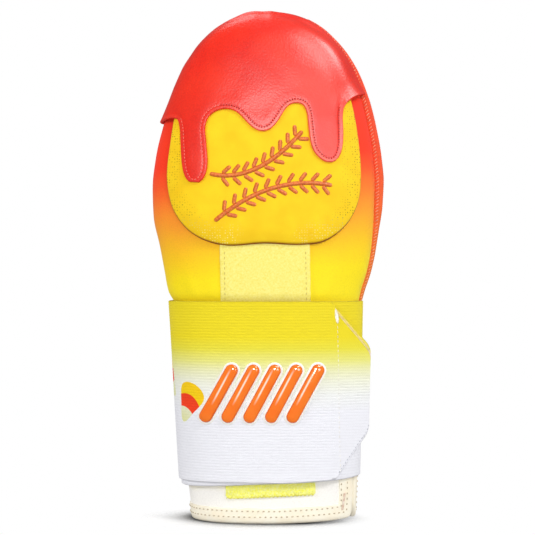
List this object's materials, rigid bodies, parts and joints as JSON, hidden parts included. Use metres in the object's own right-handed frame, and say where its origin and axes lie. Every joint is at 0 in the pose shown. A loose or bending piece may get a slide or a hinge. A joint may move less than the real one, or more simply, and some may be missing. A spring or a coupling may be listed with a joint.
{
  "type": "sliding mitt",
  "caption": "Base runner's sliding mitt standing on its cuff: hollow neoprene shell, raised guard pad, dripping leather fingertip cap, slit wrist and wide wrapped elastic strap with a badge.",
  "frame": {"origin": "on the surface that the mitt stands on, at the middle of its footprint box", "axes": "+Z from the wrist opening up to the fingertips, -Y out of the back of the hand, +X to the side with the bound seam and the strap's tab"},
  "size_m": [0.1399, 0.0713, 0.305],
  "materials": {
    "neoprene": "smooth knit face over neoprene, fading from red at the fingertips through orange to yellow",
    "pad_knit": "smooth matte knit over foam, finely perforated along the edge",
    "cap_leather": "satin grained leather, stitched along the drips",
    "seam_tape": "ribbed binding tape with zigzag stitches",
    "loop_tape": "fuzzy loop pile",
    "hem_tape": "fuzzy loop pile",
    "cuff_tape": "smooth folded tape, stitched in two rows",
    "elastic": "ribbed woven elastic, printed yellow at the top",
    "hook_tape": "short nylon hooks",
    "badge_film": "satin film",
    "badge_gel": "glossy domed gel"
  },
  "bodies": {
    "root": {"mitt_shell": "neoprene", "guard_pad": "pad_knit", "drip_cap": "cap_leather", "side_binding": "seam_tape", "loop_panel": "loop_tape", "hem_strip": "hem_tape", "cuff_binding": "cuff_tape", "wrist_strap": "elastic", "hook_patch": "hook_tape", "badge_backing": "badge_film", "badge_bar_1": "badge_gel", "badge_bar_2": "badge_gel", "badge_bar_3": "badge_gel", "badge_bar_4": "badge_gel", "badge_bar_5": "badge_gel"}
  },
  "joints": []
}
